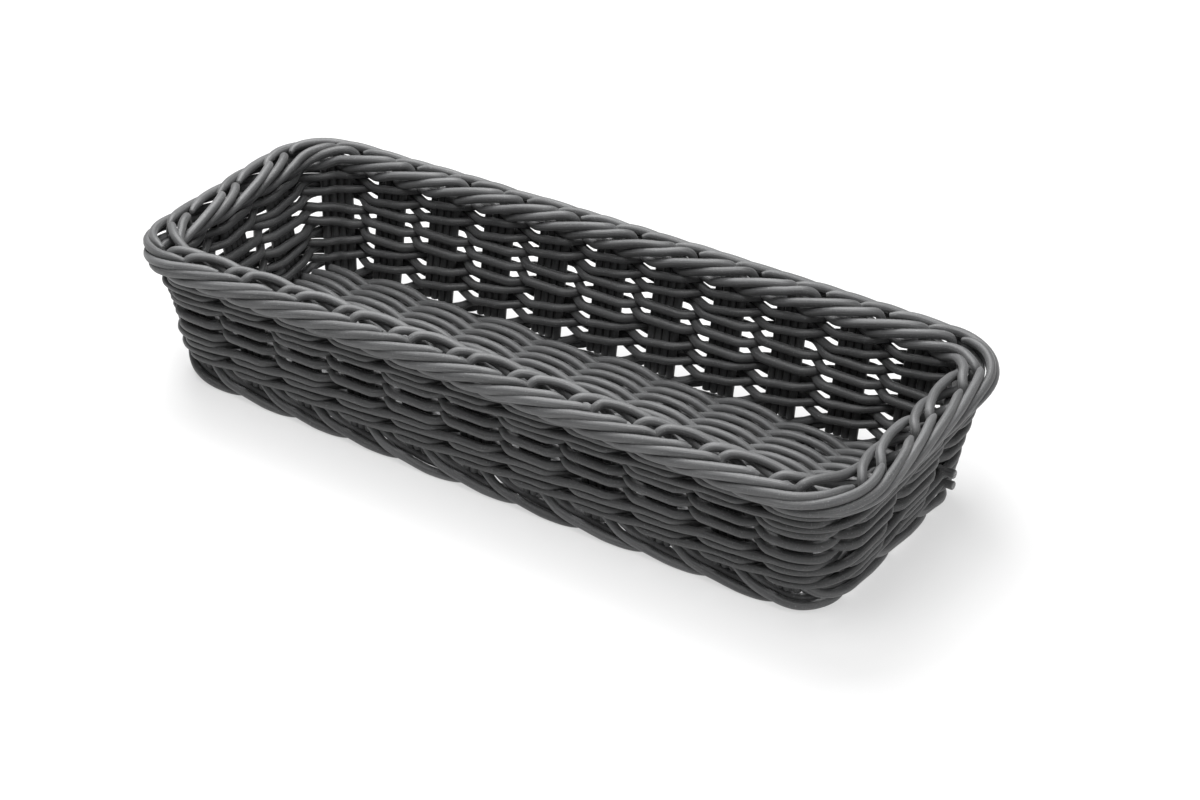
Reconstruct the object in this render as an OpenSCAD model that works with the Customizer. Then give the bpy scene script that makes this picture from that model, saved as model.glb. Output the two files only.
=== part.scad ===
// Woven bread basket: a long, low tray of round plastic cane.
//
// Canes of one thickness are woven round upright stakes.  From the table upwards:
//   foot border   pairs of canes that sweep along the bottom edge and tuck under
//   base          long weavers that pass over and under pairs of cross sticks
//   lower wale    two rounds of three-rod wale
//   weave rows    five rounds of plain weave
//   upper wale    two more rounds of three-rod wale
//   rim           stake ends rolled over the edge as outer and inner diagonal strands
//
// +X runs along the length, +Y towards the back, +Z up.  The origin is on the table under the
// middle of the base.  Every place on the wall is given by three numbers:
//   a station along the wall, counted in stakes from the middle of the front,
//   a distance outwards from the line of stakes, and a height.

/* [Overall size] */
// Length over the rim
rim_length = 400; // [396:1:410]
// Width over the rim at the middle of the length
rim_width = 156; // [150:1:160]
// Height from the table to the top of the rim
basket_height = 75; // [75:1:80]
// Length over the foot border
foot_length = 370; // [366:1:374]
// Width over the foot border at the middle of the length
foot_width = 132.4; // [130:0.2:136]
// How far each long side bulges at the foot
foot_bow = 1.8; // [0:0.2:2]
// How far the middle of the rim leans towards the back
rim_lean = 3; // [0:0.5:3]
// How much wider the right-hand end is woven than the middle, as a share, at the foot
foot_taper = 0.03; // [0:0.005:0.03]
// The same, at the rim
rim_taper = 0.05; // [0:0.005:0.05]

/* [Canes] */
// Diameter of the canes used for stakes, sticks, rim and foot
cane_d = 4; // [3.6:0.1:4]
// Thickness of the wall weavers
weaver_t = 3.6; // [3:0.1:3.6]
// Thickness of the base weavers
base_weaver_t = 3.2; // [2.8:0.1:3.2]

/* [Stakes] */
// Distance between neighbouring stakes on a long side
stake_pitch = 32.75; // [32.5:0.05:33]
// Distance between the two canes of a touching pair
pair_gap = 4.1; // [4.1:0.05:4.3]
// Width of the slit between the two pairs of one stake
stake_slit = 0.7; // [0.3:0.1:1]
// Radius of the wall's corners at the table
corner_r_foot = 19.5; // [19:0.5:21]
// Radius of the wall's corners at the rim
corner_r_rim = 24; // [23:0.5:26]

/* [Base] */
// Number of long weavers in the base
base_rows = 31; // [27:2:31]
// Distance between neighbouring base weavers, at the middle of the length
base_row_pitch = 3.46; // [3.44:0.01:3.46]
// Number of pairs of cross sticks
stick_pairs = 9; // [7:2:9]
// Distance between neighbouring pairs
stick_pitch = 34.2; // [33.8:0.1:34.4]
// How far the middle pair stands to the right of the middle of the length
stick_shift = 8; // [0:1:8]
// Height of the cross sticks' centres above the table
stick_z = 8; // [7.5:0.1:8]

/* [Wall rows] */
// Height of the middle of the lowest wale round
lower_wale_z = 17.3; // [17.3:0.1:17.5]
// Height that one wale round takes
wale_pitch = 7.3; // [7.2:0.05:7.3]
// Distance between neighbouring plain rows
row_pitch = 3.9; // [3.8:0.05:3.9]
// Height of the middle of the lowest plain row
first_row_z = 30.3; // [30.2:0.1:30.4]
// Height of the middle of the first upper wale round
upper_wale_z = 51.6; // [51.5:0.1:51.7]

/* [Hidden] */
// Counts that fix the weave's pattern
stations = 28;
quarter_stations = stations / 4;
// Stakes of the first quarter that stand on the straight of the front
straight_stakes = 5;
plain_rows = 5;
rods = 3;

// Strands of the rim: [distance out from the stakes, height below the rim's top]
rim_out_start = [6, 10.4];
rim_out_middle = [9, 5.7];
rim_out_tip = [2.6, 2];
rim_in_start = [-1.9, 2.3];
rim_in_middle = [-7.4, 6.2];
rim_in_end = [-4.2, 11];
// How far the strands travel along the rim, in stakes
rim_out_travel = 0.98;
rim_in_travel = 0.75;

// Canes of the foot border: [distance out from the stakes, height above the table]
foot_start = [4.6, 11.4];
foot_middle = [6.5, 6.6];
foot_end = [1.8, 1.5];
foot_travel = 0.9;
// Second cane of a foot pair follows the first by this many stakes
foot_lag = 0.5;

// Reach of the weavers either side of the line of stakes
weaver_reach = 4.75;
// Height of one rod of a wale, and the distance between rods
rod_t = 2.2;
rod_pitch = 2.45;
// The topmost round is packed down by this much
top_round_drop = 0.1;

// Half flats where a weaver passes a stake, on the sides and at the corners
side_flat_margin = 0.3;
corner_flat_margin = 0.6;
side_flat = pair_gap + stake_slit / 2 + cane_d / 2 + side_flat_margin;
corner_flat = pair_gap / 2 + cane_d / 2 + corner_flat_margin;

// Wall's line of stakes: half length and half width at two heights
wall_low_z = 5;
wall_high_depth = 6;
wall_high_z = basket_height - wall_high_depth;
// Distance from the middle of an end to its stakes, at the same two heights
end_stake_low = 17;
end_stake_high = 19.5;
// Stations drift round the wall, most at the front: mean drift and its swing
drift_mean = -0.34;
drift_swing = 0.2;
half_length_low = foot_length / 2 - foot_middle[0] - cane_d / 2;
half_width_low = foot_width / 2 - foot_bow - foot_middle[0] - cane_d / 2;
half_length_high = rim_length / 2 - rim_out_middle[0] - cane_d / 2;
half_width_high = rim_width / 2 - rim_out_middle[0] - cane_d / 2;

// Ends of the stakes
stake_low_z = 7;
stake_top_depth = 8.5;
stake_high_z = basket_height - stake_top_depth;

// Base weavers and cross sticks
weaver_end_gap = 5.5;
stick_end_gap = 4;
weaver_clearance = 0.15;
base_lift = cane_d / 2 + base_weaver_t / 2 + weaver_clearance;
base_flat = 5;

// Two spare stake ends that poke out low down where the right-hand end meets the back
tail_stations = [8.2, 8.29];
tail_heights = [27, 18.9];
tail_length = 3;
tail_clearance = 0.6;
tail_start = weaver_reach + weaver_t / 2 + tail_clearance;

cane_colour = [0.2, 0.205, 0.21];
stick_colour = [0.16, 0.165, 0.17];
rim_colour = [0.24, 0.245, 0.25];

SIDES = ["front", "right", "back", "left"];
function two_digits(i) = str(i < 10 ? "0" : "", i);
function weaver_name(i) = str("base_weaver_", two_digits(i));

$fn = 32;

// ---- The wall's shape -------------------------------------------------------------------

function mix(low, high, z) = low + (high - low) * (z - wall_low_z) / (wall_high_z - wall_low_z);
function half_length(z) = mix(half_length_low, half_length_high, z);
function half_width(z) = mix(half_width_low, half_width_high, z);
function corner_r(z) = mix(corner_r_foot, corner_r_rim, z);
function end_stake_y(z) = mix(end_stake_low, end_stake_high, z);

// Lengths along the wall from the middle of the front, at height z
function straight_run(z) = half_length(z) - corner_r(z);
function corner_run(z) = PI * corner_r(z) / 2;
function quarter_run(z) = straight_run(z) + corner_run(z) + half_width(z) - corner_r(z);

// Distance along the wall of a station in the first quarter
function quarter_table(z) = concat(
    [[0, 0]],
    [for (i = [0:straight_stakes - 1]) [i + 0.5, (i + 0.5) * stake_pitch]],
    [[straight_stakes + 0.5, straight_run(z) + corner_run(z) / 2],
     [straight_stakes + 1.5, quarter_run(z) - end_stake_y(z)],
     [quarter_stations, quarter_run(z)]]
);
function wrap(v) = v - stations * floor(v / stations);
function drifted(v) = v + drift_mean + drift_swing * cos(360 * (v / stations - 0.5));
function station_run(v, z) =
    let (w = wrap(drifted(v)), half = 2 * quarter_stations, t = w % half)
    let (near = t <= quarter_stations ? t : half - t)
    let (run = lookup(near, quarter_table(z)))
    (w >= half ? 2 : 0) * quarter_run(z) + (t <= quarter_stations ? run : 2 * quarter_run(z) - run);

// Point and outward direction at a run in the first quarter, from front middle to end middle
function quarter_point(s, z) =
    let (a = half_length(z), b = half_width(z), r = corner_r(z), straight = straight_run(z))
    let (turn = max(0, min(90, (s - straight) / corner_run(z) * 90)))
    let (past = max(0, s - straight - corner_run(z)))
    [[min(s, straight) + r * sin(turn), -(b - r) - r * cos(turn) + past], [sin(turn), -cos(turn)]];

// Hand-woven shape: the sides bulge at the foot, lean at the rim and widen towards the right
function taper(z) = mix(foot_taper, rim_taper, z);
function woven_y(x, y, z) =
    let (along = x / half_length(z), middle = 1 - along * along)
    let (bulge = 1 + mix(foot_bow, 0, z) / half_width(z) * middle)
    y * bulge * (1 + taper(z) * along) + mix(0, rim_lean, z) * middle;

// Point at run s along the wall, n outwards of the stakes, at height z
function wall_point(s, n, z) =
    let (q = quarter_run(z), run = s - 4 * q * floor(s / (4 * q)), leg = floor(run / q))
    let (near = leg % 2 == 0 ? run - leg * q : (leg + 1) * q - run)
    let (p = quarter_point(near, z), sx = leg <= 1 ? 1 : -1, sy = leg == 0 || leg == 3 ? 1 : -1)
    let (x = sx * (p[0][0] + n * p[1][0]), y = sy * (p[0][1] + n * p[1][1]))
    [x, woven_y(x, y, z), z];

// The same, for a station counted in stakes and an extra distance along the wall
function at(v, n, z, along = 0) = wall_point(station_run(v, z) + along, n, z);

// ---- Canes ------------------------------------------------------------------------------

// Straight cane between two points
module straight_cane(from, to, d = cane_d) {
    step = to - from;
    length = norm(step);
    tilt = acos(step[2] / length);
    heading = atan2(step[1], step[0]);
    translate(from)
        rotate([0, tilt, heading])
            cylinder(h = length, d = d);
}

// Cane bent along the circular arc through three points
module bent_cane(start, middle, end, d = cane_d) {
    u = middle - start;
    w = end - start;
    normal = cross(u, w);
    centre = start + cross((u * u) * w - (w * w) * u, normal) / (2 * normal * normal);
    radius = norm(start - centre);
    ex = (start - centre) / radius;
    ez = normal / norm(normal);
    ey = cross(ez, ex);
    end_x = (end - centre) * ex;
    end_y = (end - centre) * ey;
    sweep = atan2(end_y, end_x);
    multmatrix([
        [ex[0], ey[0], ez[0], centre[0]],
        [ex[1], ey[1], ez[1], centre[1]],
        [ex[2], ey[2], ez[2], centre[2]],
        [0, 0, 0, 1]
    ])
        rotate_extrude(angle = sweep < 0 ? sweep + 360 : sweep)
            translate([radius, 0])
                circle(d = d);
}

// ---- Wall rows --------------------------------------------------------------------------

corner_stakes = [5, 8, 19, 22];
function is_corner(i) = len([for (k = corner_stakes) if (k == i) k]) > 0;
function flat_at(i) = is_corner(i) ? corner_flat : side_flat;

// Outline of one row: reach(i) is 1 where it passes outside stake i, and -1 inside
function row_outline(z, sides, extra) = [
    for (i = [0:stations - 1])
        for (k = [-1:1])
            let (p = at(i + 0.5, sides[i] * weaver_reach + extra, z, k * flat_at(i)))
            [p[0], p[1]]
];

module row_ring(z, sides, height) {
    translate([0, 0, z - height / 2])
        linear_extrude(height)
            difference() {
                polygon(row_outline(z, sides, weaver_t / 2));
                polygon(row_outline(z, sides, -weaver_t / 2));
            }
}

// Plain weave: one round passes outside every second stake
module weave_row(i) {
    sides = [for (k = [0:stations - 1]) (k + i) % 2 == 0 ? 1 : -1];
    color(cane_colour)
        row_ring(first_row_z + (i - 1) * row_pitch, sides, weaver_t);
}

// Three-rod wale: each rod passes outside two stakes and inside the third
module wale_round(z, phase) {
    color(cane_colour)
        for (rod = [0:rods - 1]) {
            sides = [for (k = [0:stations - 1]) (k + rod + phase) % rods == 0 ? -1 : 1];
            row_ring(z + (rod - 1) * rod_pitch, sides, rod_t);
        }
}

module lower_wale_1() {
    wale_round(lower_wale_z, 0);
}

module lower_wale_2() {
    wale_round(lower_wale_z + wale_pitch, 1);
}

module upper_wale_1() {
    wale_round(upper_wale_z, 2);
}

module upper_wale_2() {
    wale_round(upper_wale_z + wale_pitch - top_round_drop, 0);
}

// ---- Stakes -----------------------------------------------------------------------------

module stake(i, offsets) {
    for (offset = offsets)
        straight_cane(at(i + 0.5, 0, stake_low_z, offset), at(i + 0.5, 0, stake_high_z, offset));
}

// Two touching pairs with a slit between them
side_offsets = let (inner = (stake_slit + cane_d) / 2) [-inner - pair_gap, -inner, inner, inner + pair_gap];
corner_offsets = [-pair_gap / 2, pair_gap / 2];

// Stakes of a side, counted from the middle of the front towards the right
function side_stakes(side) =
    side == "front" ? [23, 24, 25, 26, 27, 0, 1, 2, 3, 4] :
    side == "right" ? [6, 7] :
    side == "back" ? [9, 10, 11, 12, 13, 14, 15, 16, 17, 18] : [20, 21];

module stakes(side) {
    color(stick_colour)
        for (i = side_stakes(side))
            stake(i, side_offsets);
}

module stakes_corners() {
    color(stick_colour)
        for (i = corner_stakes)
            stake(i, corner_offsets);
}

// ---- Base -------------------------------------------------------------------------------

function stick_x(i) = (i - (stick_pairs - 1) / 2) * stick_pitch + stick_shift;

module base_cross_sticks() {
    reach = half_width(stick_z) - stick_end_gap;
    color(stick_colour)
        for (i = [0:stick_pairs - 1])
            for (side = [-1, 1])
                straight_cane(
                    [stick_x(i) + side * pair_gap / 2, -reach, stick_z],
                    [stick_x(i) + side * pair_gap / 2, reach, stick_z]
                );
}

// A weaver ends where it would meet the wall: near the corners the outer ones are shorter
function row_y(row) = (row - (base_rows + 1) / 2) * base_row_pitch;
function weaver_end(y) =
    let (r = corner_r(stick_z), into_corner = abs(y) + base_weaver_t / 2 - half_width(stick_z) + r)
    straight_run(stick_z) + sqrt(max(0, pow(r - weaver_end_gap, 2) - pow(max(0, into_corner), 2)));

// Centre line of a base weaver: over the first stick for odd rows, under it for even ones
function weaver_line(row) =
    let (end_x = weaver_end(row_y(row)), first = row % 2 == 0 ? -1 : 1)
    concat(
        [[-end_x, stick_z]],
        [for (i = [0:stick_pairs - 1])
            for (k = [-1, 1])
                [stick_x(i) + k * base_flat, stick_z + (i % 2 == 0 ? first : -first) * base_lift]],
        [[end_x, stick_z]]
    );
function shifted(line, dz) = [for (p = line) [p[0], p[1] + dz]];
function reversed(line) = [for (i = [len(line) - 1:-1:0]) line[i]];

// Weavers fan out towards the right, as the sides do
module base_weaver(row) {
    line = weaver_line(row);
    fan = row_y(row) * taper(stick_z) / half_length(stick_z);
    color(cane_colour)
        multmatrix([[1, 0, 0, 0], [fan, 1, 0, row_y(row) + base_weaver_t / 2], [0, 0, 1, 0]])
            rotate([90, 0, 0])
                linear_extrude(base_weaver_t)
                    polygon(concat(shifted(line, -base_weaver_t / 2), reversed(shifted(line, base_weaver_t / 2))));
}

// ---- Foot border ------------------------------------------------------------------------

// A foot cane is cut flat where it rests on the table
module foot_cane(v) {
    intersection() {
        bent_cane(
            at(v, foot_start[0], foot_start[1]),
            at(v + foot_travel / 2, foot_middle[0], foot_middle[1]),
            at(v + foot_travel, foot_end[0], foot_end[1])
        );
        translate([-rim_length, -rim_length, 0])
            cube(2 * rim_length);
    }
}

// First station of a side's canes, and how many stakes it covers
function side_start(side) =
    side == "front" ? -5 : side == "right" ? 5 : side == "back" ? 9 : 19;
function side_count(side) = side == "front" || side == "back" ? 10 : 4;

module foot_border(side) {
    color(rim_colour)
        for (i = [0:side_count(side) - 1])
            for (lag = [0, foot_lag])
                foot_cane(side_start(side) + i + 0.5 + lag);
}

// ---- Rim --------------------------------------------------------------------------------

module rim_strand(v, start, middle, end, travel) {
    bent_cane(
        at(v, start[0], basket_height - start[1]),
        at(v + travel / 2, middle[0], basket_height - middle[1]),
        at(v + travel, end[0], basket_height - end[1])
    );
}

module rim_outer(side) {
    color(rim_colour)
        for (i = [0:0.5:side_count(side) - 0.5])
            rim_strand(side_start(side) + i, rim_out_start, rim_out_middle, rim_out_tip, rim_out_travel);
}

module rim_inner(side) {
    color(rim_colour)
        for (i = [0:0.5:side_count(side) - 0.5])
            rim_strand(side_start(side) + i, rim_in_start, rim_in_middle, rim_in_end, rim_in_travel);
}

// ---- Spare ends -------------------------------------------------------------------------

module tail_ends() {
    color(rim_colour)
        for (i = [0:1])
            straight_cane(
                at(tail_stations[i], tail_start, tail_heights[i]),
                at(tail_stations[i], tail_start + tail_length, tail_heights[i])
            );
}

// ---- Nodes ------------------------------------------------------------------------------

base_cross_sticks();
for (i = [1:base_rows])
    base_weaver(i);
for (side = SIDES)
    foot_border(side);
for (side = SIDES)
    stakes(side);
stakes_corners();
lower_wale_1();
lower_wale_2();
for (i = [1:plain_rows])
    weave_row(i);
upper_wale_1();
upper_wale_2();
for (side = SIDES)
    rim_outer(side);
for (side = SIDES)
    rim_inner(side);
tail_ends();
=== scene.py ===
import math

import bpy
import numpy as np
from mathutils import Matrix, Vector


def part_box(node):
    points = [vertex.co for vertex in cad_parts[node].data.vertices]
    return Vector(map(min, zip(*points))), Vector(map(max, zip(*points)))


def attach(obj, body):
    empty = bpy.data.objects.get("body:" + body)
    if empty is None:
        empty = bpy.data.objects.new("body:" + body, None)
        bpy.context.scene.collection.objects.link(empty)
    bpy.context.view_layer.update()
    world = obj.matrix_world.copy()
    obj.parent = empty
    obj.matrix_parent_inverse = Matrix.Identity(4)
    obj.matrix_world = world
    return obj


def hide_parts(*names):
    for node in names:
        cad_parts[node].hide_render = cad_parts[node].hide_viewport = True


MM = 0.001
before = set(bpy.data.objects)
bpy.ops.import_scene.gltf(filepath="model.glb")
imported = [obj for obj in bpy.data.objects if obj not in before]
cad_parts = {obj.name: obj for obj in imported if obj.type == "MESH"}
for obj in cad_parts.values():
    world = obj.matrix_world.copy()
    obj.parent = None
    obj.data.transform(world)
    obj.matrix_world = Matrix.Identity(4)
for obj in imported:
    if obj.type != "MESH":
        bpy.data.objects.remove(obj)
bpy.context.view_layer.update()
rng = np.random.default_rng(20)

# ---- Sizes taken from the CAD part ----------------------------------------------------------

SIDES = ("front", "right", "back", "left")


def box_mm(node):
    """The lowest and the highest corner of a CAD node, in millimetres."""
    low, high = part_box(node)
    return np.array(low) / MM, np.array(high) / MM


def half_span(prefix):
    """Half the distance from the left side's lowest x to the right side's highest."""
    return (box_mm(prefix + "right")[1][0] - box_mm(prefix + "left")[0][0]) / 2


# A pair below is a value at LOW_Z and the same value at HIGH_Z
LOW_Z, HIGH_Z = 5.0, 69.0
RIM_REACH = 11.0
FOOT_REACH = 8.5
HALF_LENGTH = (half_span("foot_border_") - FOOT_REACH, half_span("rim_outer_") - RIM_REACH)
HALF_WIDTH = (55.9, 67.0)
CORNER_R = (19.5, 24.0)
TAPER = (0.03, 0.05)
BOW = (1.8, 0)
LEAN = (0, 3.0)
# How far the stake nearest the middle of an end stands from that middle
END_STAKE = (17.0, 19.5)
RIM_TOP = max(box_mm("rim_outer_" + side)[1][2] for side in SIDES)

STATIONS = 28
QUARTER = STATIONS / 4
PITCH = 32.75
STRAIGHT_STATIONS = 5
DRIFT_MEAN, DRIFT_SWING = -0.34, 0.2

# The first stake of each side's borders and how many stakes they start from
SIDE_SPANS = {"front": (-5, 10), "right": (5, 4), "back": (9, 10), "left": (19, 4)}
CORNER_STAKES = [5, 8, 19, 22]
STAKE_OFFSETS = (-6.2, -2.1, 2.1, 6.2)

CANE_R = 2.0
STAKE_R = 2.1
BORDER_R = 2.15
ROW_R = 2.28
ROD_R = 1.97

BASE_ROWS = sum(name.startswith("base_weaver_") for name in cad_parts)
STICK_Z = 8.7
STICK_PITCH = 34.2
STICK_PAIRS = 9
STICK_SHIFT = 8.0


# ---- The wall's shape -----------------------------------------------------------------------


def mix(pair, z):
    """The value at height z of something that changes evenly from the foot to the rim."""
    return pair[0] + (pair[1] - pair[0]) * (z - LOW_Z) / (HIGH_Z - LOW_Z)


def drifted(v):
    """Stakes stand a little before their even places: half a stake at the front, less behind."""
    return v + DRIFT_MEAN + DRIFT_SWING * np.cos(2 * np.pi * (v / STATIONS - 0.5))


def quarter_run(z):
    """Length of a quarter of the wall at height z."""
    r = mix(CORNER_R, z)
    return mix(HALF_LENGTH, z) - r + np.pi * r / 2 + mix(HALF_WIDTH, z) - r


def run_of(v, z):
    """Distance along the wall of station v at height z, from the middle of the front."""
    w = np.mod(drifted(v), STATIONS)
    t = np.mod(w, 2 * QUARTER)
    near = np.where(t <= QUARTER, t, 2 * QUARTER - t)
    r = mix(CORNER_R, z)
    q = quarter_run(z)
    straight = [i + 0.5 for i in range(STRAIGHT_STATIONS)]
    corner = STRAIGHT_STATIONS + 0.5
    stations = [0] + straight + [corner, corner + 1, QUARTER]
    runs = [0 * z] + [i * PITCH + 0 * z for i in straight]
    runs += [mix(HALF_LENGTH, z) - r + np.pi * r / 4, q - mix(END_STAKE, z), q]
    run = np.zeros_like(z)
    for i in range(len(stations) - 1):
        inside = (near >= stations[i]) & (near <= stations[i + 1])
        share = (near - stations[i]) / (stations[i + 1] - stations[i])
        run = np.where(inside, runs[i] + share * (runs[i + 1] - runs[i]), run)
    return np.where(w >= 2 * QUARTER, 2 * q, 0) + np.where(t <= QUARTER, run, 2 * q - run)


def at(v, n, z, along=0.0):
    """Points of the wall: station v, n outwards of the stakes, height z, and a distance along."""
    v = np.asarray(v, float)
    n = np.broadcast_to(np.asarray(n, float), v.shape)
    z = np.broadcast_to(np.asarray(z, float), v.shape)
    a, b, r, q = mix(HALF_LENGTH, z), mix(HALF_WIDTH, z), mix(CORNER_R, z), quarter_run(z)
    s = np.mod(run_of(v, z) + along, 4 * q)
    leg = np.minimum(np.floor(s / q).astype(int), 3)
    near = np.where(leg % 2 == 0, s - leg * q, (leg + 1) * q - s)
    corner = np.pi * r / 2
    turn = np.clip((near - a + r) / corner, 0, 1) * np.pi / 2
    past = np.maximum(0, near - a + r - corner)
    x = np.minimum(near, a - r) + (r + n) * np.sin(turn)
    y = -(b - r) - (r + n) * np.cos(turn) + past
    x = x * np.where(leg <= 1, 1, -1)
    y = y * np.where((leg == 0) | (leg == 3), 1, -1)
    return np.stack([x, woven_y(x, y, z), z], -1)


def woven_y(x, y, z):
    """The sides bulge at the foot, lean at the rim and widen towards the right."""
    along = x / mix(HALF_LENGTH, z)
    middle = 1 - along**2
    bulge = 1 + mix(BOW, z) / mix(HALF_WIDTH, z) * middle
    return y * bulge * (1 + mix(TAPER, z) * along) + mix(LEAN, z) * middle


# ---- Curves and tubes -----------------------------------------------------------------------


def smooth(keys, count, closed=False):
    """Catmull-Rom curve through evenly numbered keys, count points per key."""
    keys = np.asarray(keys, float)
    if closed:
        ring = np.vstack([keys[-1:], keys, keys[:2]])
    else:
        ring = np.vstack([2 * keys[0] - keys[1], keys, 2 * keys[-1] - keys[-2]])
    out = []
    t = np.linspace(0, 1, count, endpoint=False)[:, None]
    for p0, p1, p2, p3 in zip(ring, ring[1:], ring[2:], ring[3:]):
        bend = 2 * p0 - 5 * p1 + 4 * p2 - p3 + t * (3 * (p1 - p2) + p3 - p0)
        out.append(p1 + 0.5 * t * (p2 - p0 + t * bend))
    if not closed:
        out.append(keys[-1:])
    return np.vstack(out)


def wander(count, spacing, size):
    """Slow random drift of a given size, one value per point, with a knot every few points."""
    knots = max(4, int(count / spacing) + 3)
    values = smooth(rng.normal(0, size, (knots, 1)), 8)[:, 0]
    return np.interp(np.linspace(0, len(values) - 1, count), np.arange(len(values)), values)


def frames(path, closed):
    """Unit tangents and normals that turn as little as possible along the path."""
    if closed:
        tangent = np.roll(path, -1, 0) - np.roll(path, 1, 0)
    else:
        tangent = np.gradient(path, axis=0)
    tangent /= np.linalg.norm(tangent, axis=1)[:, None]
    normals = np.zeros_like(path)
    n = np.cross(tangent[0], (0.3, 0.2, 1))
    for i, t in enumerate(tangent):
        n = n - t * (n @ t)
        n = n / np.linalg.norm(n)
        normals[i] = n
    if closed:
        last = normals[-1]
        side = np.cross(tangent[0], last)
        twist = math.atan2(normals[0] @ side, normals[0] @ last)
        angles = np.linspace(0, twist, len(path))[:, None]
        normals = normals * np.cos(angles) + np.cross(tangent, normals) * np.sin(angles)
    return tangent, normals


class Canes:
    """Gathers the tubes of one piece and makes one mesh of them."""

    FACETS = 12
    THICKNESS_STEP, THICKNESS_SPREAD = 20.0, 0.012
    CUT_BEVEL, CUT_CORE = 0.35, 0.5
    CUT_SHADE = (1, 0.6)
    TIP_SIZE = 0.6
    GRAIN_SPREAD = 50

    def __init__(self):
        self.points, self.faces, self.grain, self.tone, self.cut = [], [], [], [], []
        self.total = 0

    def ring(self, centres, tangent, normal, radius):
        angle = np.linspace(0, 2 * np.pi, self.FACETS, endpoint=False)
        side = np.cross(tangent, normal)
        out = normal[:, None] * np.cos(angle)[None, :, None]
        out = out + side[:, None] * np.sin(angle)[None, :, None]
        return centres[:, None] + out * radius[:, None, None], angle

    def add(self, path, radius, closed=False, tone=None, slant=0.0):
        """Sweeps one cane: a tube with bevelled cut ends, the far end cut at a slant if asked."""
        path = np.asarray(path, float)
        tangent, normal = frames(path, closed)
        steps = np.linalg.norm(np.diff(path, axis=0), axis=1)
        along = np.concatenate([[0], np.cumsum(steps)])
        size = radius * (1 + np.interp(along, *self.thickness(along[-1])))
        if slant:
            size = size * np.interp(along[-1] - along, (0, slant), (self.TIP_SIZE, 1))
        cut = np.zeros(len(path))
        if not closed:
            ends = self.with_ends(path, tangent, normal, along, size)
            path, tangent, normal, along, size, cut = ends
        points, angle = self.ring(path, tangent, normal, size)
        self.points.append(points.reshape(-1, 3))
        self.grain.append(self.grain_of(along, angle, size))
        self.faces += self.faces_of(len(path), closed)
        shade = rng.uniform(0, 1) if tone is None else tone
        self.tone.append(np.full(len(path) * self.FACETS, shade))
        self.cut.append(np.repeat(cut, self.FACETS))
        self.total += len(path) * self.FACETS

    def grain_of(self, along, angle, size):
        """Where each point is in the cane's own grain: along it and across it, in millimetres."""
        seed = rng.uniform(0, self.GRAIN_SPREAD)
        across = size[:, None]
        lengths = np.repeat(along[:, None], self.FACETS, 1) + seed * 10
        grain = [lengths, np.cos(angle) * across + seed, np.sin(angle) * across - seed]
        return np.stack(grain, -1).reshape(-1, 3)

    def faces_of(self, count, closed):
        """Quads between the rings of a tube, and a flat cap at each end of an open one."""
        index = np.arange(count * self.FACETS).reshape(count, self.FACETS) + self.total
        rows = np.arange(count if closed else count - 1)
        a, b = index[rows], index[(rows + 1) % count]
        quads = np.stack([a, np.roll(a, -1, 1), np.roll(b, -1, 1), b], -1).reshape(-1, 4).tolist()
        return quads if closed else quads + [index[0][::-1].tolist(), index[-1].tolist()]

    def thickness(self, length):
        """Slight change of thickness along an extruded cane."""
        knots = np.arange(0, length + 2 * self.THICKNESS_STEP, self.THICKNESS_STEP)
        return knots, rng.normal(0, self.THICKNESS_SPREAD, len(knots))

    def with_ends(self, path, tangent, normal, along, size):
        """Adds a small bevel and a flat at both cut ends."""
        bevel, core = self.CUT_BEVEL, self.CUT_CORE
        lead, tail = path[:1] - tangent[:1] * bevel, path[-1:] + tangent[-1:] * bevel
        path = np.vstack([lead, lead, path, tail, tail])
        tangent = np.vstack([tangent[:1]] * 2 + [tangent] + [tangent[-1:]] * 2)
        normal = np.vstack([normal[:1]] * 2 + [normal] + [normal[-1:]] * 2)
        along = np.concatenate([[along[0] - bevel] * 2, along, [along[-1] + bevel] * 2])
        edge = 1 - bevel / size[0]
        first, last = size[0], size[-1]
        size = np.concatenate([[first * core, first * edge], size, [last * edge, last * core]])
        cut = np.zeros(len(path))
        cut[[0, 1]] = self.CUT_SHADE
        cut[[-1, -2]] = self.CUT_SHADE
        return path, tangent, normal, along, size, cut

    def build(self, node, slot):
        """Makes the mesh object that stands for a CAD node."""
        mesh = bpy.data.meshes.new(node + "_cane")
        points = np.vstack(self.points) * MM
        mesh.from_pydata(points.tolist(), [], self.faces)
        mesh.update()
        for name, values in (("tone", self.tone), ("cut", self.cut)):
            attribute = mesh.attributes.new(name, "FLOAT", "POINT")
            attribute.data.foreach_set("value", np.concatenate(values).astype(np.float32))
        attribute = mesh.attributes.new("grain", "FLOAT_VECTOR", "POINT")
        attribute.data.foreach_set("vector", np.vstack(self.grain).astype(np.float32).ravel())
        mesh.polygons.foreach_set("use_smooth", [len(face) == 4 for face in self.faces])
        obj = bpy.data.objects.new(node + "_cane", mesh)
        bpy.context.scene.collection.objects.link(obj)
        mesh.materials.append(MATERIALS[slot])
        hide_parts(node)
        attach(obj, "root")


# ---- Material -------------------------------------------------------------------------------

# Cycles of the noise per millimetre, along the cane and across it
STREAK_SCALE = (0.05, 1.9, 1.9)
CLOUD_SCALE = (0.02, 0.12, 0.12)
SPECK_SCALE = (1.6, 1.6, 1.6)
STREAK_STOPS = [(0.3, (0.62, 0.62, 0.63)), (0.7, (1.32, 1.32, 1.31))]
STREAK_SHARE = (0.75, 1.0)
SCUFF_STOPS = [(0.6, (0, 0, 0)), (0.72, (0.6, 0.6, 0.6))]
CUT_STOPS = [(0.35, (0.05, 0.05, 0.052)), (0.65, (0.3, 0.3, 0.3))]
ROUGHNESS = (0.44, 0.64)
SPECULAR, SHEEN, SHEEN_ROUGHNESS = 0.55, 0.12, 0.5
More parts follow.
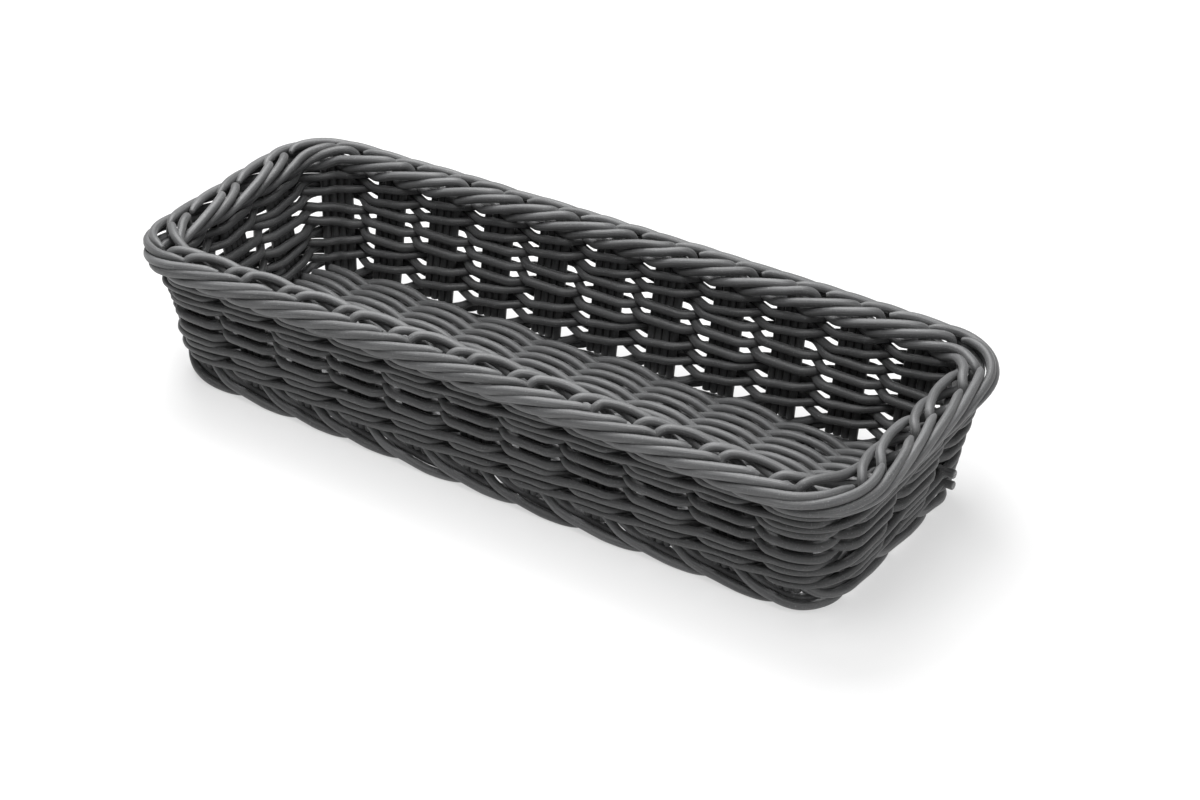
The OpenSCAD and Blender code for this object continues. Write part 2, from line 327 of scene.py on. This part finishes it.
# Strength, and height in metres
STREAK_BUMP = (0.35, 0.0004)
SPECK_BUMP = (0.2, 0.0002)


def node_of(tree, kind, **settings):
    node = tree.nodes.new(kind)
    for name, value in settings.items():
        setattr(node, name, value)
    return node


def noise(tree, vector, scale, detail):
    """Noise over a vector that is stretched by scale first."""
    mapping = node_of(tree, "ShaderNodeMapping")
    mapping.inputs["Scale"].default_value = scale
    tree.links.new(vector, mapping.inputs["Vector"])
    node = node_of(tree, "ShaderNodeTexNoise")
    node.inputs["Scale"].default_value = 1.0
    node.inputs["Detail"].default_value = detail
    tree.links.new(mapping.outputs["Vector"], node.inputs["Vector"])
    return node.outputs["Fac"]


def ramp(tree, value, stops):
    node = node_of(tree, "ShaderNodeValToRGB")
    elements = node.color_ramp.elements
    while len(elements) < len(stops):
        elements.new(0.5)
    for element, (place, colour) in zip(elements, stops):
        element.position = place
        element.color = (*colour, 1)
    tree.links.new(value, node.inputs["Fac"])
    return node.outputs["Color"]


def plain_colour(tree, colour):
    output = node_of(tree, "ShaderNodeRGB").outputs["Color"]
    output.default_value = (*colour, 1)
    return output


def blend_colours(tree, factor, first, second, kind="MIX"):
    node = node_of(tree, "ShaderNodeMix", data_type="RGBA", blend_type=kind)
    tree.links.new(factor, node.inputs["Factor"])
    tree.links.new(first, node.inputs["A"])
    tree.links.new(second, node.inputs["B"])
    return node.outputs["Result"]


def remap(tree, value, low, high):
    node = node_of(tree, "ShaderNodeMapRange")
    node.inputs["To Min"].default_value = low
    node.inputs["To Max"].default_value = high
    tree.links.new(value, node.inputs["Value"])
    return node.outputs["Result"]


def attribute_of(tree, name, output):
    return node_of(tree, "ShaderNodeAttribute", attribute_name=name).outputs[output]


def bump_of(tree, height, strength, distance):
    node = node_of(tree, "ShaderNodeBump")
    node.inputs["Strength"].default_value = strength
    node.inputs["Distance"].default_value = distance
    tree.links.new(height, node.inputs["Height"])
    return node


def cane_material(name, dark, light, worn):
    """Matte extruded plastic: streaks along it, cloudy tone, worn specks and pale cut ends."""
    material = bpy.data.materials.new(name)
    material.use_nodes = True
    tree = material.node_tree
    shader = tree.nodes["Principled BSDF"]
    grain = attribute_of(tree, "grain", "Vector")
    streaks = noise(tree, grain, STREAK_SCALE, 4)
    clouds = noise(tree, grain, CLOUD_SCALE, 2)
    specks = noise(tree, grain, SPECK_SCALE, 3)
    body = ramp(tree, attribute_of(tree, "tone", "Fac"), [(0, dark), (1, light)])
    streaked = ramp(tree, streaks, STREAK_STOPS)
    share = remap(tree, clouds, *STREAK_SHARE)
    colour = blend_colours(tree, share, body, streaked, "MULTIPLY")
    scuffs = ramp(tree, specks, SCUFF_STOPS)
    colour = blend_colours(tree, scuffs, colour, plain_colour(tree, worn))
    cut_grain = ramp(tree, specks, CUT_STOPS)
    colour = blend_colours(tree, attribute_of(tree, "cut", "Fac"), colour, cut_grain)
    tree.links.new(colour, shader.inputs["Base Color"])
    tree.links.new(remap(tree, streaks, *ROUGHNESS), shader.inputs["Roughness"])
    shader.inputs["Specular IOR Level"].default_value = SPECULAR
    shader.inputs["Sheen Weight"].default_value = SHEEN
    shader.inputs["Sheen Roughness"].default_value = SHEEN_ROUGHNESS
    coarse = bump_of(tree, streaks, *STREAK_BUMP)
    fine = bump_of(tree, specks, *SPECK_BUMP)
    tree.links.new(coarse.outputs["Normal"], fine.inputs["Normal"])
    tree.links.new(fine.outputs["Normal"], shader.inputs["Normal"])
    return material


# Each material slot's dark, light and worn colour
SLOT_COLOURS = {
    "weaver_cane": ((0.034, 0.0345, 0.0352), (0.098, 0.0992, 0.101), (0.19, 0.19, 0.194)),
    "stake_cane": ((0.036, 0.0365, 0.0372), (0.052, 0.0527, 0.0538), (0.1, 0.1, 0.103)),
    "border_cane": ((0.059, 0.0597, 0.0608), (0.101, 0.1022, 0.104), (0.22, 0.22, 0.225)),
}
MATERIALS = {slot: cane_material(slot, *colours) for slot, colours in SLOT_COLOURS.items()}
# Share of the way from dark to light, drawn at random for each cane: the wall's canes keep to the
# darker share as painted shade on the walls, and the base's canes keep to the lighter share as
# painted light on the base's top
WALL_SHADED_TONE = (0.0, 0.4)
BASE_LIT_TONE = (0.6, 1.0)
RIM_TONE = (0.1, 1)


# ---- Wall rows ------------------------------------------------------------------------------

ROW_REACH, ROW_REACH_SPREAD = 4.35, 0.12
ROW_RISE_SPREAD = 0.22
ROW_FLAT = 0.27
ROW_Z = (32.1, 35.9, 39.6, 43.3, 47.1)
POINTS_PER_STAKE = 16


def crossing(before, after, share):
    """Where a weaver is between two stakes: flat past each stake, a smooth S in the gap."""
    t = np.clip((share - ROW_FLAT) / (1 - 2 * ROW_FLAT), 0, 1)
    return before + (after - before) * (1 - np.cos(np.pi * t)) / 2


def weave_row(row):
    canes = Canes()
    v = np.arange(STATIONS * POINTS_PER_STAKE) / POINTS_PER_STAKE
    here = np.floor(v).astype(int)
    following = (here + 1) % STATIONS
    sides = np.array([1 if (k + row) % 2 == 0 else -1 for k in range(STATIONS)])
    held = sides * (ROW_REACH + rng.normal(0, ROW_REACH_SPREAD, STATIONS))
    n = crossing(held[here], held[following], v - here)
    rise = rng.normal(0, ROW_RISE_SPREAD, STATIONS)
    z = ROW_Z[row - 1] + crossing(rise[here], rise[following], v - here)
    # The wall's rows take the darker tones: painted shade
    canes.add(at(v + 0.5, n, z), ROW_R, closed=True, tone=rng.uniform(*WALL_SHADED_TONE))
    canes.build("weave_row_%d" % row, "weaver_cane")


ROD_REACH, ROD_REACH_SPREAD = 4.5, 0.02
ROD_LIFT, ROD_LIFT_SPREAD = 1.85, 0.07
# Each wale round's height, and the stake its first rod starts at
WALES = {
    "lower_wale_1": (18.2, 0),
    "lower_wale_2": (26.0, 1),
    "upper_wale_1": (52.4, 2),
    "upper_wale_2": (59.8, 0),
}
# One rod of a wale over three stakes: in past one, out past the next two
# Each key is [reach, lift], four to a stake
WALE_KEYS = [
    (0, 1), (-1, 0.6), (-1.03, 0), (-1, -0.6),
    (0, -1), (0.98, -1.1), (1.03, -0.98), (1.02, -0.7),
    (1.08, 0), (1.02, 0.7), (1.03, 0.98), (0.98, 1.1),
]
KEYS_PER_STAKE = 4


def wale_round(node):
    """The three rods of a round join end to end: they are one cane that goes round three times."""
    canes = Canes()
    height, phase = WALES[node]
    keys = np.array(WALE_KEYS * STATIONS, float)
    keys[:, 0] *= ROD_REACH * (1 + rng.normal(0, ROD_REACH_SPREAD, len(keys)))
    keys[:, 1] = keys[:, 1] * ROD_LIFT + rng.normal(0, ROD_LIFT_SPREAD, len(keys))
    curve = smooth(keys, POINTS_PER_STAKE // KEYS_PER_STAKE, closed=True)
    v = np.arange(len(curve)) / POINTS_PER_STAKE + phase
    points = at(v, curve[:, 0], height + curve[:, 1])
    # The wale rounds take the darker tones of the wall: painted shade
    canes.add(points, ROD_R, closed=True, tone=rng.uniform(*WALL_SHADED_TONE))
    canes.build(node, "weaver_cane")


# ---- Stakes ---------------------------------------------------------------------------------

STAKE_LOW_Z = 9.0
STUB_Z, STUB_SPREAD = 67.0, 1
HIDDEN_END_Z = 62.0
STAKE_POINTS = 22
# Points between the knots of the drift, and its size
STAKE_OUT_DRIFT = (6, 0.12)
STAKE_SIDE_DRIFT = (8, 0.08)


def stake(canes, i):
    """Every other cane of a stake ends as a stub below the rim; the others go on as its strands."""
    for k, offset in enumerate(STAKE_OFFSETS):
        stub = k % 2 == 0
        top = STUB_Z + rng.normal(0, STUB_SPREAD) if stub else HIDDEN_END_Z
        z = np.linspace(STAKE_LOW_Z, top, STAKE_POINTS)
        n = wander(STAKE_POINTS, *STAKE_OUT_DRIFT)
        along = offset + wander(STAKE_POINTS, *STAKE_SIDE_DRIFT)
        canes.add(at(np.full(STAKE_POINTS, i + 0.5), n, z, along), STAKE_R)


def stakes(node, numbers):
    canes = Canes()
    for i in numbers:
        stake(canes, i)
    canes.build(node, "stake_cane")


def side_stakes(side):
    """The stakes of a side, without those that stand in a corner."""
    first, count = SIDE_SPANS[side]
    numbers = [i % STATIONS for i in range(first, first + count)]
    return [i for i in numbers if i not in CORNER_STAKES]


# ---- Base -----------------------------------------------------------------------------------

BASE_R = 2.0
BASE_PITCH = 3.46
BASE_LIFT = 3.7
BASE_POINTS = 170
BASE_RISE_DRIFT = (20, 0.12)
BASE_SIDE_DRIFT = (16, 0.16)
END_GAP = 3.0
# How much fuller than a cosine the wave of a base weaver is
WAVE_FULLNESS = 0.28
STICK_POINTS = 60
STICK_DRIFT = (20, 0.1)
STICK_END_GAP = 2.5
STICK_SIZE = 0.98


def fanned(x, y):
    """Base rows fan out towards the right as the sides do."""
    return y * (1 + mix(TAPER, STICK_Z) * x / mix(HALF_LENGTH, STICK_Z))


def base_weaver(row):
    canes = Canes()
    y0 = (row - (BASE_ROWS + 1) / 2) * BASE_PITCH
    a, b, r = mix(HALF_LENGTH, STICK_Z), mix(HALF_WIDTH, STICK_Z), mix(CORNER_R, STICK_Z)
    into = max(0, abs(y0) + BASE_R - b + r)
    end = a - r + math.sqrt(max(0, (r - END_GAP) ** 2 - into**2))
    x = np.linspace(-end, end, BASE_POINTS)
    wave = np.cos(np.pi * (x - STICK_SHIFT) / STICK_PITCH) * (1 if row % 2 == 1 else -1)
    wave = wave * (1 + WAVE_FULLNESS - WAVE_FULLNESS * wave**2)
    z = STICK_Z + BASE_LIFT * wave + wander(BASE_POINTS, *BASE_RISE_DRIFT)
    y = fanned(x, y0 + wander(BASE_POINTS, *BASE_SIDE_DRIFT))
    # The base's weavers take the lighter tones: painted light on their tops
    canes.add(np.stack([x, y, z], -1), BASE_R, tone=rng.uniform(*BASE_LIT_TONE))
    canes.build("base_weaver_%02d" % row, "weaver_cane")


def base_cross_sticks():
    canes = Canes()
    reach = mix(HALF_WIDTH, STICK_Z) - STICK_END_GAP
    apart = CANE_R + 0.05
    for i in range(STICK_PAIRS):
        middle = (i - (STICK_PAIRS - 1) / 2) * STICK_PITCH + STICK_SHIFT
        for side in (-1, 1):
            x = np.full(STICK_POINTS, middle + side * apart)
            y = fanned(x, np.linspace(-1, 1, STICK_POINTS) * reach)
            z = STICK_Z + wander(STICK_POINTS, *STICK_DRIFT)
            canes.add(np.stack([x, y, z], -1), CANE_R * STICK_SIZE)
    canes.build("base_cross_sticks", "stake_cane")


# ---- Foot border ----------------------------------------------------------------------------

# The two canes of a foot pair: [stakes travelled, outwards, height]
FOOT_KEYS = (
    [
        (0.02, -0.5, 16), (0.1, 1.3, 14), (0.22, 2.9, 11.8), (0.39, 4.0, 8.1), (0.58, 4.3, 5.9),
        (0.79, 4.3, 4.6), (1.0, 4.4, 3.4), (1.2, 4.4, 2.6), (1.5, 3.6, 2.2), (1.7, 1, 2.2),
        (1.82, -4.5, 3), (1.86, -12, 4.4),
    ],
    [
        (0.14, -1, 16.5), (0.26, 0.4, 14.6), (0.42, 1.4, 12.0), (0.58, 1.0, 9.0),
        (0.78, 0.4, 6.7), (1.0, 0.6, 5.3), (1.2, 0.7, 4.8), (1.5, -0.1, 4.4),
        (1.62, -3.2, 4.8), (1.68, -8.5, 5.4),
    ],
)
# How much a whole cane is moved by chance: [stakes travelled, outwards, height]
FOOT_SPREAD = (0.02, 0.2, 0.2)
FOOT_STEPS = 6
FOOT_SIZE = 0.98
END_LIFT = 3.6
LIFT_FULL, LIFT_NONE = 0.8, 1.9


def lift_at(v):
    """The foot border rises a little along the middle of both ends."""
    away = np.abs(np.mod(drifted(v), 2 * QUARTER) - QUARTER)
    share = np.clip((LIFT_NONE - away) / (LIFT_NONE - LIFT_FULL), 0, 1)
    return END_LIFT * share * share * (3 - 2 * share)


def foot_border(side):
    canes = Canes()
    first, count = SIDE_SPANS[side]
    for i in range(first, first + count):
        for keys in FOOT_KEYS:
            curve = smooth(np.array(keys) + rng.normal(0, FOOT_SPREAD), FOOT_STEPS)
            v = i + 0.5 + curve[:, 0]
            z = np.maximum(curve[:, 2], BORDER_R) + lift_at(v)
            canes.add(at(v, curve[:, 1], z), BORDER_R * FOOT_SIZE)
    canes.build("foot_border_" + side, "border_cane")


# ---- Rim ------------------------------------------------------------------------------------

# A stake's end, rolled over the edge: up, over to the inside, down, and out below the rim.
# Each key is [stakes from the stake, outwards, height]
INNER_KEYS = {
    "small": [
        (-0.32, 2.4, 63), (-0.3, 2.2, 68), (-0.26, -0.2, 71.6), (-0.14, -3.6, 72.8),
        (0.1, -6.6, 71.6), (0.38, -7.0, 69.0), (0.62, -5.8, 66), (0.8, -3, 63.8),
    ],
    "big": [
        (0.0, 2.4, 63), (0.01, 2.2, 68), (0.05, -0.2, 71.8), (0.17, -3.6, 73.1),
        (0.46, -6.6, 72.3), (0.82, -7.6, 69.4), (1.1, -6.2, 66), (1.3, -3.2, 63.6),
    ],
}
# From there it climbs round the outside at an even slope: [stakes from the tip, outwards, height]
OUTER_KEYS = [
    (-1.9, 2.5, 63.4), (-1.66, 6.5, 62.8), (-1.34, 9, 64.6), (-1.02, 9.3, 67.2),
    (-0.69, 8.2, 69.7), (-0.33, 5.9, 71.6), (-0.08, 3.4, 72.0), (0.04, 1.9, 71.2),
]
# The height of the rim's top that the keys are given for
KEYS_TOP = 75
TIP_PLACE = {"small": 2.98, "big": 3.54}
TIP_SLANT = 6.0
RIM_OUT_SPREAD, RIM_RISE_SPREAD, RIM_ALONG_SPREAD = 0.12, 0.1, 0.012
RIM_STEPS = 6
# The first keys are hidden below the rim: chance leaves their station and height alone
HIDDEN_KEYS = 2


def rim_curve(kind):
    """The whole rolled cane, and the point where its inner half ends."""
    inner = np.array(INNER_KEYS[kind])
    outer = np.array(OUTER_KEYS) + (TIP_PLACE[kind], 0, 0)
    keys = np.vstack([inner, outer])
    shown = len(keys) - HIDDEN_KEYS
    keys[:, 1] += rng.normal(0, RIM_OUT_SPREAD, len(keys))
    keys[HIDDEN_KEYS:, 2] += rng.normal(0, RIM_RISE_SPREAD, shown)
    keys[HIDDEN_KEYS:, 0] += rng.normal(0, RIM_ALONG_SPREAD, shown)
    keys[:, 2] += RIM_TOP - KEYS_TOP
    return smooth(keys, RIM_STEPS), len(inner) * RIM_STEPS - RIM_STEPS // 2


def rim_strands(side):
    """Each rolled cane is cut between the inner and the outer half, one for each CAD node."""
    inner, outer = Canes(), Canes()
    first, count = SIDE_SPANS[side]
    for i in range(first, first + count):
        for kind in INNER_KEYS:
            curve, split = rim_curve(kind)
            points = at(i + 0.5 + curve[:, 0], curve[:, 1], curve[:, 2])
            tone = rng.uniform(*RIM_TONE)
            inner.add(points[: split + 1], BORDER_R, tone=tone)
            outer.add(points[split:], BORDER_R, tone=tone, slant=TIP_SLANT)
    inner.build("rim_inner_" + side, "border_cane")
    outer.build("rim_outer_" + side, "border_cane")


# ---- Spare ends -----------------------------------------------------------------------------

# Station and height of each
TAILS = ((8.2, 27.0), (8.29, 18.9))
TAIL_START, TAIL_REACH = 2, 10.0
TAIL_POINTS = 8
TAIL_SIZE = 1.05


def tail_ends():
    canes = Canes()
    n = np.linspace(TAIL_START, TAIL_REACH, TAIL_POINTS)
    for v, z in TAILS:
        canes.add(at(np.full(TAIL_POINTS, v), n, z), CANE_R * TAIL_SIZE)
    canes.build("tail_ends", "border_cane")


# ---- Build ----------------------------------------------------------------------------------

base_cross_sticks()
for row in range(1, BASE_ROWS + 1):
    base_weaver(row)
for side in SIDES:
    foot_border(side)
    stakes("stakes_" + side, side_stakes(side))
    rim_strands(side)
stakes("stakes_corners", CORNER_STAKES)
for name in WALES:
    wale_round(name)
for row in range(1, len(ROW_Z) + 1):
    weave_row(row)
tail_ends()


# ---- Floor, light and camera ----------------------------------------------------------------

FLOOR_SIZE = 6.0
FLOOR_TONE, FLOOR_GLOW = 0.32, 0.56
FLOOR_ROUGHNESS, FLOOR_SPECULAR = 0.8, 0.1
SKY_STRENGTH, HORIZON = 0.7, 0.06
HORIZON_END = 0.25
# Each light's place, width and height, and power
LIGHTS = {
    "key": ((-0.5, 0.4, 1.15), (0.8, 0.8), 24.0),
    "fill": ((1.2, -0.3, 0.55), (0.7, 0.5), 3.2),
    "top": ((0.1, -0.35, 1.25), (0.6, 0.6), 10.0),
}
LIGHT_TARGET = (0, 0, 0.03)


def plain_floor():
    half = FLOOR_SIZE / 2
    mesh = bpy.data.meshes.new("floor")
    corners = [(-half, -half, 0), (half, -half, 0), (half, half, 0), (-half, half, 0)]
    mesh.from_pydata(corners, [], [(0, 1, 2, 3)])
    floor = bpy.data.objects.new("floor", mesh)
    bpy.context.scene.collection.objects.link(floor)
    material = bpy.data.materials.new("floor_paper")
    material.use_nodes = True
    shader = material.node_tree.nodes["Principled BSDF"]
    shader.inputs["Base Color"].default_value = (FLOOR_TONE, FLOOR_TONE, FLOOR_TONE, 1)
    shader.inputs["Roughness"].default_value = FLOOR_ROUGHNESS
    shader.inputs["Emission Color"].default_value = (1, 1, 1, 1)
    shader.inputs["Emission Strength"].default_value = FLOOR_GLOW
    shader.inputs["Specular IOR Level"].default_value = FLOOR_SPECULAR
    mesh.materials.append(material)


def area_light(name, place, size, energy):
    light = bpy.data.lights.new(name, "AREA")
    light.shape = "RECTANGLE"
    light.size, light.size_y = size
    light.energy = energy
    obj = bpy.data.objects.new(name, light)
    bpy.context.scene.collection.objects.link(obj)
    obj.location = place
    aim = Vector(LIGHT_TARGET) - Vector(place)
    obj.rotation_euler = aim.to_track_quat("-Z", "Y").to_euler()


def studio():
    """A dim horizon under a bright sky, and three soft lights."""
    world = bpy.data.worlds.new("studio")
    world.use_nodes = True
    tree = world.node_tree
    background = tree.nodes["Background"]
    coordinates = node_of(tree, "ShaderNodeTexCoord").outputs["Generated"]
    parts = node_of(tree, "ShaderNodeSeparateXYZ")
    tree.links.new(coordinates, parts.inputs["Vector"])
    dim = (HORIZON, HORIZON, HORIZON)
    sky = ramp(tree, parts.outputs["Z"], [(0, dim), (HORIZON_END, dim), (1, (1, 1, 1))])
    tree.links.new(sky, background.inputs["Color"])
    background.inputs["Strength"].default_value = SKY_STRENGTH
    bpy.context.scene.world = world
    for name, (place, size, energy) in LIGHTS.items():
        area_light(name, place, size, energy)
    bpy.context.scene.view_settings.view_transform = "Standard"


CAMERA_AZ, CAMERA_EL = math.radians(33.52), math.radians(32.44)
CAMERA_DISTANCE = 1.371
CAMERA_TARGET = (0.02304, 0.00471, 0.0226)
CAMERA_LENS, CAMERA_SENSOR = 88.7, 36


def photo_camera():
    camera = bpy.data.cameras.new("camera")
    camera.lens = CAMERA_LENS
    camera.sensor_width = CAMERA_SENSOR
    obj = bpy.data.objects.new("camera", camera)
    bpy.context.scene.collection.objects.link(obj)
    back = Vector((
        math.sin(CAMERA_AZ) * math.cos(CAMERA_EL),
        -math.cos(CAMERA_AZ) * math.cos(CAMERA_EL),
        math.sin(CAMERA_EL),
    ))
    right = Vector((math.cos(CAMERA_AZ), math.sin(CAMERA_AZ), 0))
    up = back.cross(right)
    turn = Matrix((right, up, back)).transposed().to_4x4()
    obj.matrix_world = Matrix.Translation(Vector(CAMERA_TARGET) + CAMERA_DISTANCE * back) @ turn
    bpy.context.scene.camera = obj


plain_floor()
studio()
photo_camera()
